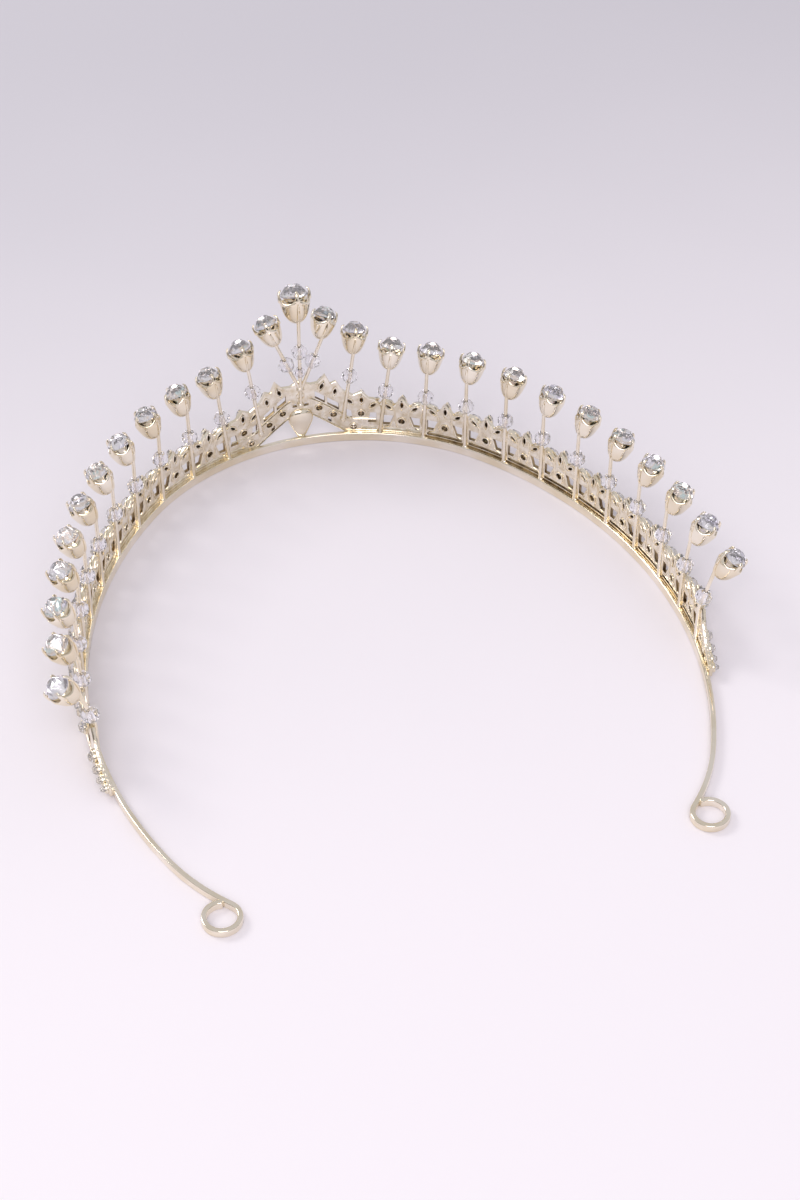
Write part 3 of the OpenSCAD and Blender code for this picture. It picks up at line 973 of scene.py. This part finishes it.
    def ridges(self) -> bpy.types.Object:
        """Builds the thin cast ridges on the back and the grains on the tapered ends."""
        start, step, count = self.leg
        leg = [k * step + start for k in range(count)]
        lines = [[(s, height_at(self.low, s) + up) for s in leg] for up in self.leg_ridges]
        for middle in self.wings:
            for petal in self.petals:
                for side in (1, -1):
                    lines.append([(middle + side * x, z) for x, z in petal])
        parts = []
        for line in lines:
            for side in (1, -1):
                points = [Vector((*LINE.point(side * s, self.back - 0.02), z)) for s, z in line]
                parts.append(bar("ridge", points, [self.ridge_r] * len(points), 1))
        start, step, count = self.tail_grains
        for k in range(count):
            s = start + step * k
            z = height_at(self.tail_top, s)
            for side in (1, -1):
                bpy.ops.mesh.primitive_uv_sphere_add(segments=10, ring_count=6, radius=self.grain_r)
                grain = bpy.context.object
                place_at = Vector((*LINE.point(side * (self.last + s), self.back + self.thick / 2), z))
                grain.data.transform(Matrix.Translation(place_at))
                parts.append(grain)
        piece = join(parts, "ridges")
        smooth(piece, 50)
        dress(piece, Finish.CAST)
        return finish_piece(piece)

    def rims(self, name: str, every: list[Seat], depth: tuple[float, float], margins: tuple[float, float],
             gripped: bool) -> bpy.types.Object:
        """Builds a rim round each of some seats.

        Args:
            name: the piece's name.
            every: the seats.
            depth: the rims' back and front, in millimetres outward.
            margins: how far the inner and the outer line lie outside the stone.
            gripped: whether each rim has grains that hold the stone.

        Returns:
            The finished piece.
        """
        parts = []
        near, wide = (2 * margin for margin in margins)
        edge = min(0.12, (depth[1] - depth[0]) / 2 - 0.02)
        for length, width in sorted({(seat.length, seat.width) for seat in every}):
            seats = [seat for seat in every if (seat.length, seat.width) == (length, width)]
            if length == width:
                loops = [round_loop((length + wide) / 2, 20), round_loop((length + near) / 2, 20)]
                turns = [math.pi / 4 + k * math.pi / 2 for k in range(4)]
                grips = [(length / 2 * math.cos(q), length / 2 * math.sin(q)) for q in turns]
            else:
                loops = [leaf_loop(length + wide, width + wide), leaf_loop(length + near, width + near)]
                grips = [(0, length / 2), (0, -length / 2), (width / 2, 0), (-width / 2, 0)]
            rim = flat_shape("rim", loops, *depth, edge)
            tidy(rim)
            grains = [self.grain(x, z, depth[1]) for x, z in grips] if gripped else []
            parts.append(repeat(join([rim] + grains, "rim"), name, [seat.place(0) for seat in seats]))
        piece = join(parts, name)
        LINE.bend(piece)
        smooth(piece, 40)
        dress(piece, Finish.CAST)
        return finish_piece(piece)

    def grain(self, x: float, z: float, front: float) -> bpy.types.Object:
        """Makes one raised grain that grips a stone's edge, flattened as a burnisher leaves it."""
        bpy.ops.mesh.primitive_uv_sphere_add(segments=8, ring_count=5, radius=0.3, location=(x, -front, z))
        piece = bpy.context.object
        piece.scale = (1, 0.8, 1)
        place_mesh(piece)
        return piece


# Posts from the centre outward: distance, root height, sideways fan, stone height, bead height
FIRST_POSTS = ((0, 12, 0, 43.6, 22.7), (0, 17, 21, 36.3, 25.6), (10.6, 6, 7.6, 31.5, 20),
               (19.8, 1.4, 6.4, 27, 15.5), (31, 1.4, 2.1, 26.9, 15))
# All the others, at one pitch: root height, sideways fan, stone height, bead height
WING_POST = (1.4, 0, 26.8, 15.1)
POST_PITCH = 11.2
POST_COUNT = 14
# How far the last ones lean outward, in degrees
LEANS = {11: 2.5, 12: 5.5, 13: 14.5}
BEND_H = 12.0
CUP_TILT = math.radians(21)
CUP_OUT = 1.25
POST_OUT = 0.2
CUP_LENGTH = 5.8
GIRDLE = CUP_LENGTH + 0.3
PEAK_SCALE = 1.18


@dataclass
class Post:
    """One post with its place, lean and heights."""
    index: int
    side: int
    s: float
    root: float
    fan: float
    stone: float
    bead: float
    lean: float

    def size(self) -> float:
        """Returns the size of the post's cup beside the others."""
        return PEAK_SCALE if self.index == 0 else 1.0

    def bend(self) -> float:
        """Returns the length from the root to the bend along the fanned post."""
        return (BEND_H - self.root) / math.cos(math.radians(self.fan))

    def lower(self) -> Matrix:
        """Returns the place of the post's root, Z running up the fanned post."""
        flip = Matrix.Scale(-1, 4, (1, 0, 0)) if self.side < 0 else Matrix.Identity(4)
        return (flip @ LINE.place(self.s) @ Matrix.Translation((0, -POST_OUT, self.root))
                @ Matrix.Rotation(math.radians(self.fan), 4, "Y"))

    def upper(self) -> Matrix:
        """Returns the place of the post above its bend."""
        return (self.lower() @ Matrix.Translation((0, 0, self.bend()))
                @ Matrix.Rotation(math.radians(self.lean), 4, "X"))

    def rise(self) -> float:
        """Returns how far above the bend the cup's tip lies."""
        up = (self.stone - BEND_H) / math.cos(math.radians(self.fan))
        return up - GIRDLE * self.size() * math.cos(CUP_TILT)

    def cup(self) -> Matrix:
        """Returns the place of the cup, Z along its axis."""
        return (self.upper() @ Matrix.Translation((0, -CUP_OUT, self.rise()))
                @ Matrix.Rotation(CUP_TILT, 4, "X") @ Matrix.Scale(self.size(), 4))

    def bead_place(self, height: float) -> Matrix:
        """Returns the place of a bead whose centre is at a height."""
        along = (height - BEND_H) / math.cos(math.radians(self.fan))
        return self.upper() @ Matrix.Translation((0, 0, along))

    def node(self) -> str:
        """Returns the name of the stone's solid."""
        if self.index == 0:
            return "stone_peak"
        return f"stone_{'l' if self.side > 0 else 'r'}{self.index}"


def list_posts() -> list[Post]:
    """Returns every post, from the centre outward and both sides."""
    posts = []
    last = len(FIRST_POSTS) - 1
    for i in range(POST_COUNT):
        wing = (FIRST_POSTS[last][0] + (i - last) * POST_PITCH, *WING_POST)
        row = FIRST_POSTS[i] if i <= last else wing
        for side in ((1,) if i == 0 else (1, -1)):
            posts.append(Post(i, side, *row, LEANS.get(i, 0)))
    return posts


POSTS = list_posts()


@dataclass
class Wires:
    """The posts: drawn wire, soldered to the band and the strip's back, running up behind the cups."""
    radius: float = 0.45
    foot: float = 0.51
    swage: float = 0.5
    thinning: tuple[float, float, float] = (-1.2, 2.4, 3.6)
    tip_r: float = 0.22
    solder_size: tuple[float, float, float] = (0.85, 0.6, 0.55)
    solder_z: tuple[float, float] = (2.3, 0.6)

    def build(self) -> bpy.types.Object:
        """Draws each post with its solder and returns them as one piece."""
        parts = []
        for post in POSTS:
            up = post.upper()
            start = max(0.0, -post.bend())
            if post.root < BEND_H:
                points = [post.lower() @ Vector((0, 0, z)) for z in (0, post.bend() - self.swage)]
                radii = [self.foot, self.foot]
            else:
                points, radii = [up @ Vector((0, 0, start))], [self.radius]
            for z, r in self.run(post, start):
                points.append(up @ Vector((0, 0, z)))
                radii.append(r)
            parts.append(bar("post", points, radii))
            parts.append(self.solder(post))
        piece = join(parts, "posts")
        smooth(piece, 40)
        dress(piece, Finish.DRAWN)
        return finish_piece(piece)

    def run(self, post: Post, start: float) -> list[tuple[float, float]]:
        """Returns heights and radii along the upper wire, which thins out up the cup's back."""
        tip = post.rise()
        below, full, end = self.thinning
        return [(start + self.swage, self.radius), (tip + below, self.radius),
                (tip + full * post.size(), self.radius), (tip + end * post.size(), self.tip_r)]

    def solder(self, post: Post) -> bpy.types.Object:
        """Makes the small run of solder where a post meets the band, or the strip where it starts higher."""
        bpy.ops.mesh.primitive_uv_sphere_add(segments=14, ring_count=8, radius=1)
        piece = bpy.context.object
        on_band, above_root = self.solder_z
        foot = on_band if post.root < on_band else post.root + above_root
        place = post.lower() @ Matrix.Translation((0, 0, foot - post.root))
        piece.data.transform(place @ Matrix.Diagonal((*self.solder_size, 1)))
        if place.determinant() < 0:
            piece.data.flip_normals()
        return piece


@dataclass
class Cups:
    """The spun tulip cups with four claws each."""
    rim_r: float = 3.25
    length: float = CUP_LENGTH
    pocket_r: float = 2.8
    dip: float = 1.1
    dip_from: float = 0.55
    outline: tuple = ((0.15, 0), (0.26, 0.015), (0.4, 0.06), (0.53, 0.13), (0.65, 0.22), (0.76, 0.335),
                      (0.85, 0.47), (0.915, 0.61), (0.96, 0.74), (0.99, 0.84), (1.0, 0.9), (0.997, 0.94),
                      (0.98, 0.975), (0.95, 1.0))
    steps: int = 56
    lip: float = 0.91
    lip_fall: float = 0.2
    pocket: tuple = ((0.84, 0.72), (0.4, 0.52), (0.0, 0.52))
    spine: tuple = ((0.32, 0.07, 0.4), (0.56, 0.16, 0.38), (0.74, 0.3, 0.36), (0.87, 0.47, 0.33),
                    (0.96, 0.64, 0.28), (1.0, 0.79, 0.16))
    claw_r: float = 3.22
    claw_low: float = 0.6
    claw_size: tuple[float, float, float] = (0.5, 0.95, 0.8)
    claw_run: tuple = ((0.8, 0.02, 0.86), (0.6, -0.14, 0.8), (0.35, -0.4, 0.62))

    def build(self) -> bpy.types.Object:
        """Spins one cup, adds its claws, copies it to every post and returns the piece."""
        outer = [(r * self.rim_r, z * self.length) for r, z in self.outline]
        inner = [(self.lip * self.rim_r, self.length), (self.pocket_r, self.length - self.lip_fall)]
        inner += [(self.pocket_r * r, self.length * z) for r, z in self.pocket]
        cup = lathe("cup", [(0.0, 0.0)] + outer + inner, self.steps)
        self.scallop(cup)
        claws = [self.claw(k * math.pi / 2) for k in range(4)]
        backbone = [Vector((0, r * self.rim_r, z * self.length)) for r, z, _ in self.spine]
        wire = bar("spine", backbone, [thick for _, _, thick in self.spine], 2)
        cup = join([cup, wire] + claws, "cup")
        piece = repeat(cup, "cups", [post.cup() for post in POSTS])
        smooth(piece, 38)
        dress(piece, Finish.SPUN)
        return finish_piece(piece)

    def scallop(self, cup: bpy.types.Object) -> None:
        """Lowers the rim between the claws, so that the stone's girdle shows over it."""
        for vertex in cup.data.vertices:
            x, y, z = vertex.co
            rise = max(0.0, z / self.length - self.dip_from) / (1 - self.dip_from)
            between = abs(math.sin(2 * math.atan2(y, x)))
            vertex.co.z -= self.dip * rise * between

    def claw(self, turn: float) -> bpy.types.Object:
        """Makes one claw: a flat prong that rises from the rim and bends over the stone's edge."""
        bpy.ops.mesh.primitive_cube_add(size=1, location=(0, 0, 0))
        piece = bpy.context.object
        foot = Matrix.Translation((self.claw_r, 0, self.length - self.claw_low))
        piece.data.transform(foot @ Matrix.Diagonal((*self.claw_size, 1)))
        edit_faces(piece, lambda face: face.normal.z > 0.9)
        for along, out, scale in self.claw_run:
            bpy.ops.mesh.extrude_region_move(TRANSFORM_OT_translate={"value": (out, 0, along)})
            centre = (self.claw_r + out, 0, self.length)
            bpy.ops.transform.resize(value=(0.9, scale, 1), center_override=centre)
        leave()
        apply_modifier(piece, "BEVEL", width=0.12, segments=2, limit_method="ANGLE",
                       angle_limit=math.radians(40))
        piece.data.transform(Matrix.Rotation(turn, 4, "Z"))
        return piece


@dataclass
class CutStones:
    """The round stones in the cups, cut as brilliants with a foiled pavilion."""
    radius: float = 2.85
    girdle: float = GIRDLE
    crown: float = 1.95
    pavilion: float = 2.2
    half_girdle: float = 0.1
    break_slopes: tuple[float, float] = (54, -41.5)
    main_slopes: tuple[float, float] = (51, -36.4)
    star_slope: float = 35
    table: float = 0.44
    index_turn: float = 13

    def cut(self, piece: bpy.types.Object, turn: float, slope: float, reach: float, level: float) -> None:
        """Grinds one flat facet.

        Args:
            piece: the stone, open in edit mode; not used, as the cut acts on the mesh that is open.
            turn: the facet's direction round the stone, in degrees.
            slope: the facet's angle to the girdle plane, negative below it.
            reach: the distance from the axis at which the facet meets the level.
            level: the height of that meeting.
        """
        q, a = math.radians(turn), math.radians(abs(slope))
        normal = (math.cos(q) * math.sin(a), math.sin(q) * math.sin(a), math.copysign(math.cos(a), slope))
        at = (math.cos(q) * reach, math.sin(q) * reach, level)
        bpy.ops.mesh.select_all(action="SELECT")
        bpy.ops.mesh.bisect(plane_co=at, plane_no=normal, use_fill=True, clear_outer=True)

    def brilliant(self) -> bpy.types.Object:
        """Cuts one brilliant from a round blank and returns it."""
        depth = self.crown + self.pavilion
        bpy.ops.mesh.primitive_cylinder_add(vertices=32, radius=self.radius, depth=depth,
                                            location=(0, 0, (self.crown - self.pavilion) / 2))
        piece = bpy.context.object
        place_mesh(piece)
        edit(piece)
        g = self.half_girdle
        for k in range(16):
            for slope in self.break_slopes:
                self.cut(piece, 11.25 + 22.5 * k, slope, self.radius - 0.01, math.copysign(g, slope))
        for k in range(8):
            for slope in self.main_slopes:
                self.cut(piece, 45 * k, slope, self.radius, math.copysign(g, slope))
            self.cut(piece, 22.5 + 45 * k, self.star_slope, self.table * self.radius, self.crown)
        leave()
        tidy(piece, 0.004)
        piece.data.transform(Matrix.Translation((0, 0, self.girdle)))
        for face in piece.data.polygons:
            low = face.center.z < self.girdle - g
            face.material_index = 1 if low else 0
            face.use_smooth = False
        return piece

    def build(self) -> list[bpy.types.Object]:
        """Copies the brilliant into every cup, each with its own mesh, and returns the stones."""
        model = self.brilliant()
        stones = []
        for post in POSTS:
            spin = Matrix.Rotation(math.radians(self.index_turn * post.index * post.side), 4, "Z")
            stone = copy_to(model, post.cup() @ spin)
            stone.name = "crown_" + post.node()
            dress(stone, Finish.CROWN, Finish.FOIL)
            stones.append(finish_piece(stone, [post.node()]))
        bpy.data.objects.remove(model)
        return stones


@dataclass
class Beads:
    """The clear pressed beads, drilled and threaded on the posts."""
    radius: float = 2.0
    length: float = 3.2
    hole: float = 0.57
    sides: int = 10
    peak: float = 28.9
    low_share: float = 0.7
    outline: tuple = ((0.6, 0), (1, 0.34), (1, 0.66), (0.6, 1))

    def model(self, share: float) -> bpy.types.Object:
        """Spins one bead and twists its waist so that the facets interlock.

        Args:
            share: its size beside the full one, the hole staying the same.

        Returns:
            The bead, its centre at zero.
        """
        r, l = share * self.radius, share * self.length
        outer = [(x * r, z * l) for x, z in self.outline]
        bead = lathe("bead", [(self.hole, 0), *outer, (self.hole, l)], self.sides)
        half = math.pi / self.sides
        for vertex in bead.data.vertices:
            if math.hypot(vertex.co.x, vertex.co.y) > 0.9 * r and vertex.co.z > l / 2:
                vertex.co = Matrix.Rotation(half, 3, "Z") @ vertex.co
        edit(bead)
        bpy.ops.mesh.select_all(action="SELECT")
        bpy.ops.mesh.quads_convert_to_tris()
        leave()
        bead.data.transform(Matrix.Translation((0, 0, -l / 2)))
        return bead

    def build(self) -> bpy.types.Object:
        """Threads a bead on each post, and a smaller one between the fanned posts."""
        places = [POSTS[0].bead_place(self.peak)] + [post.bead_place(post.bead) for post in POSTS[1:]]
        full = repeat(self.model(1.0), "beads", places)
        low = repeat(self.model(self.low_share), "low_bead", [POSTS[0].bead_place(POSTS[0].bead)])
        piece = join([full, low], "beads")
        for face in piece.data.polygons:
            face.use_smooth = False
        dress(piece, Finish.BEAD)
        return finish_piece(piece, ["post_beads"])


def press_stone(loop: Loop, back: float, middle: float, steps: tuple) -> bpy.types.Object:
    """Presses one flat-backed stone: a girdle, two rings of crown facets and a table.

    Args:
        loop: the stone's outline, as x and height.
        back: the Y of its back.
        middle: the height that the facets draw in to.
        steps: how far each ring goes outward, and its size beside the last one.

    Returns:
        The stone, its table towards -Y and its back foiled.
    """
    bpy.ops.mesh.primitive_circle_add(vertices=len(loop), radius=1, fill_type="NGON")
    piece = bpy.context.object
    for vertex, (x, z) in zip(piece.data.vertices, loop):
        vertex.co = (x, back, z)
    edit(piece)
    bpy.ops.mesh.select_all(action="SELECT")
    for out, scale in steps:
        bpy.ops.mesh.extrude_region_move(TRANSFORM_OT_translate={"value": (0, -out, 0)})
        bpy.ops.transform.resize(value=(scale, 1, scale), center_override=(0, 0, middle))
    leave()
    tidy(piece)
    for face in piece.data.polygons:
        face.material_index = 1 if face.center.y > back - 0.01 else 0
        face.use_smooth = False
    dress(piece, Finish.CROWN, Finish.FOIL)
    return piece


@dataclass
class SetStones:
    """The flat-backed stones in the strip's bezels."""
    strip: Strip
    steps: tuple = ((0.9, 1.0), (0.28, 0.8), (0.32, 0.6875))

    def lay(self, name: str, node: str, seats: list[Seat], leaf: bool) -> bpy.types.Object:
        """Sets one stone in each seat and returns them as one piece.

        Args:
            name: the piece's name.
            node: the solid that it stands for.
            seats: where the stones go.
            leaf: whether they are leaves or rounds.

        Returns:
            The finished piece.
        """
        parts = []
        for length, width in sorted({(seat.length, seat.width) for seat in seats}):
            same = [seat for seat in seats if (seat.length, seat.width) == (length, width)]
            loop = leaf_loop(length, width, 8) if leaf else round_loop(length / 2, 10)
            outward = self.strip.face() + self.strip.clear
            places = [LINE.place(seat.s) @ Matrix.Translation((0, -outward, seat.z))
                      @ Matrix.Rotation(math.radians(seat.turn), 4, "Y") for seat in same]
            parts.append(repeat(press_stone(loop, 0, 0, self.steps), "set", places))
        return finish_piece(join(parts, name), [node])

    def build(self) -> list[bpy.types.Object]:
        """Sets the leaf stones and the round stones and returns the two pieces."""
        return [self.lay("leaf_set", "leaf_stones", self.strip.all_leaves(), True),
                self.lay("round_set", "round_stones", self.strip.all_rounds(), False)]


@dataclass
class PearDrop:
    """The plump pear cup under the chevron and the stone in its front."""
    outline: tuple = ((0.7, 1.9), (1.15, 2.7), (1.7, 3.8), (2.2, 4.85), (2.6, 5.8), (3.0, 6.8), (3.2, 7.6),
                      (3.2, 8.5), (3.0, 9.4), (2.6, 10.1), (2.0, 10.6), (1.4, 10.87), (0.8, 11.0))
    middle: float = 7.0
    wall: float = 0.5
    back: float = 0.5
    front: float = 2.4
    depth: float = 1.25
    clear: float = 0.12
    lap: float = 0.05
    steps: tuple = ((1.73, 1.0), (0.3, 0.82), (0.3, 0.55 / 0.82))

    def loop(self) -> Loop:
        """Returns the whole outline."""
        return list(self.outline) + flipped(list(self.outline))[::-1]

    def shrunk(self, by: float) -> Loop:
        """Returns the outline drawn in towards its middle."""
        found = []
        for x, z in self.loop():
            v = Vector((x, z - self.middle))
            v = v * ((v.length - by) / v.length)
            found.append((v.x, v.y + self.middle))
        return found

    def build(self) -> list[bpy.types.Object]:
        """Builds the cup and its stone and returns both."""
        y = LINE.point(0).y
        ring = flat_shape("pear_ring", [self.loop(), self.shrunk(self.wall)], self.back, self.front, 0.1)
        tidy(ring)
        ring.data.transform(Matrix.Translation((0, y, 0)))
        half = [(0.0, self.outline[0][1]), *self.outline, (0.0, self.outline[-1][1])]
        dome = lathe("pear_dome", half, 24, 180)
        half_width = max(x for x, _ in self.outline)
        dome.data.transform(Matrix.Translation((0, y - self.back - self.lap, 0))
                            @ Matrix.Diagonal((1, self.depth / half_width, 1, 1)))
        edit(dome, "EDGE")
        bpy.ops.mesh.select_non_manifold()
        bpy.ops.mesh.edge_face_add()
        leave()
        tidy(dome)
        cup = join([ring, dome], "pear_cup")
        smooth(cup, 42)
        dress(cup, Finish.SPUN)
        return [finish_piece(cup), self.stone(y)]

    def stone(self, y: float) -> bpy.types.Object:
        """Presses the pear stone, its back just clear of the cup, and returns it."""
        back = y - self.back - self.lap - self.clear
        piece = press_stone(self.shrunk(self.wall + self.clear), back, self.middle, self.steps)
        piece.name = "pear_crystal"
        return finish_piece(piece, ["pear_stone"])


@dataclass
class Studio:
    """A pale board, soft lights and the camera, above and behind the tiara."""
    spot: tuple = (105.0, 386.4, 379.3)
    azimuth: float = 164.02
    elevation: float = 42.71
    roll: float = 0.344
    focal_px: float = 2368
    frame_px: float = 1200
    sensor: float = 36
    lamps: tuple = (("key", (0.75, -0.75, 0.95), 0.5, 5, "#FFFBF6"),
                    ("near", (0.2, 0.95, 1.0), 0.8, 6.5, "#FFF9FC"))
    card_turns: tuple[float, float, float] = (20, 80, 140)
    card_out: float = 1.1
    card_up: float = 0.24
    card_size: tuple[float, float] = (0.6, 0.24)
    room: str = "#F4F1F5"
    room_light: float = 0.71
    board_size: float = 6

    def build(self) -> None:
        """Sets up the board, the lights and the camera."""
        self.board()
        for lamp in self.lamps:
            self.lamp(*lamp)
        for k, degrees in enumerate(self.card_turns):
            q = math.radians(degrees)
            out = self.card_out
            self.card(f"card_{k}", (out * math.cos(q), out * math.sin(q), self.card_up))
        self.sky()
        self.camera()
        bpy.context.scene.view_settings.view_transform = "Standard"

    def board(self) -> None:
        """Lays the pale board on the level of the band's lower edge."""
        bpy.ops.mesh.primitive_grid_add(x_subdivisions=8, y_subdivisions=8, size=self.board_size,
                                        location=(0, 0, 0))
        floor = bpy.context.object
        floor.name = "board"
        dress(floor, Finish.BOARD)

    def lamp(self, name: str, spot: tuple[float, float, float], size: float, power: float,
             colour: str) -> None:
        """Hangs one soft box that looks at the tiara.

        Args:
            name: the lamp's name.
            spot: its place in metres.
            size: its side in metres.
            power: its power in watts.
            colour: its colour.
        """
        bpy.ops.object.light_add(type="AREA", location=spot)
        lamp = bpy.context.object
        lamp.name = name
        lamp.data.shape = "SQUARE"
        lamp.data.size = size
        lamp.data.energy = power
        lamp.data.color = linear(colour)[:3]
        lamp.rotation_euler = (-Vector(spot)).to_track_quat("-Z", "Y").to_euler()

    def card(self, name: str, spot: tuple[float, float, float]) -> None:
        """Holds up one dark card that faces the tiara. It shows in the metal, and not in the view itself.

        Args:
            name: the card's name.
            spot: its place in metres.
        """
        bpy.ops.mesh.primitive_grid_add(x_subdivisions=2, y_subdivisions=2, size=1)
        card = bpy.context.object
        card.name = name
        turn = Vector(spot).to_track_quat("Z", "Y").to_matrix().to_4x4()
        card.data.transform(Matrix.Translation(spot) @ turn @ Matrix.Diagonal((*self.card_size, 1, 1)))
        dress(card, Finish.FELT)
        card.visible_camera = False

    def sky(self) -> None:
        """Fills the room with an even light, like that of a white tent."""
        world = bpy.data.worlds.new("room")
        world.use_nodes = True
        bpy.context.scene.world = world
        tree = world.node_tree
        back = next(node for node in tree.nodes if node.type == "BACKGROUND")
        back.inputs["Color"].default_value = linear(self.room)
        back.inputs["Strength"].default_value = self.room_light

    def camera(self) -> None:
        """Places the camera at the photograph's angle."""
        a, e, q = (math.radians(v) for v in (self.azimuth, self.elevation, self.roll))
        back = Vector((math.sin(a) * math.cos(e), -math.cos(a) * math.cos(e), math.sin(e)))
        right = Vector((0, 0, 1)).cross(back).normalized()
        up = back.cross(right)
        right, up = math.cos(q) * right + math.sin(q) * up, -math.sin(q) * right + math.cos(q) * up
        data = bpy.data.cameras.new("camera")
        data.sensor_width = self.sensor
        data.lens = self.focal_px * self.sensor / self.frame_px
        data.clip_start = 0.01
        data.clip_end = 20
        camera = bpy.data.objects.new("camera", data)
        bpy.context.collection.objects.link(camera)
        turn = Matrix((right, up, back)).transposed().to_4x4()
        camera.matrix_world = Matrix.Translation(Vector(self.spot) * MM) @ turn
        bpy.context.scene.camera = camera


def main() -> None:
    """Builds every piece and the studio."""
    logging.basicConfig(level=logging.INFO, format="%(message)s")
    clear_selection()
    strip = Strip()
    for builder in (Band(), strip, Wires(), Cups(), CutStones(), Beads(), SetStones(strip), PearDrop()):
        builder.build()
        log.info("%s built", type(builder).__name__)
    Studio().build()


if __name__ == "__main__":
    main()
